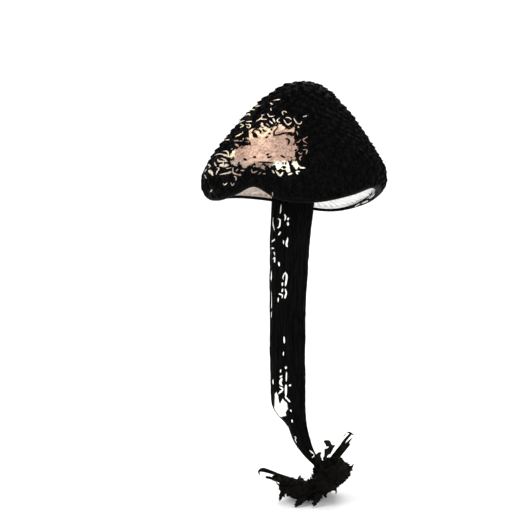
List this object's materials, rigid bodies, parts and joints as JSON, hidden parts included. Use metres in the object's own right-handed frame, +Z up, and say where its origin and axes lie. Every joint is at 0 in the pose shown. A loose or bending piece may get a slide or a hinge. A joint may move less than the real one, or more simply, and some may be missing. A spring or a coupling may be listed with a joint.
{
  "type": "shaggy ink cap",
  "caption": "Shaggy ink cap mushroom with a black scaly cone-shaped cap, pale gills and a tall fibrous stem, standing on its clod of earth, moss and straw.",
  "frame": {"origin": "on the surface that the clod stands on, at the bottom centre of the bounding box, under the middle of the cap", "axes": "+Z up along the stem; +X to the right of the front view, the side that the foot bends to; +Y away from the viewer"},
  "size_m": [0.0644, 0.0634, 0.1436],
  "materials": {
    "cap_skin": "matt, shaggy, near black",
    "gill": "matt, pale cream",
    "stem_fibre": "matt, fibrous, near black with pale flecks",
    "earth": "matt, crumbly, near black",
    "straw": "matt, dry, near black"
  },
  "bodies": {
    "root": {"cap": "cap_skin", "gills": "gill", "stem": "stem_fibre", "soil_clod": "earth", "straw_left": "straw", "straw_right": "straw"}
  },
  "joints": []
}
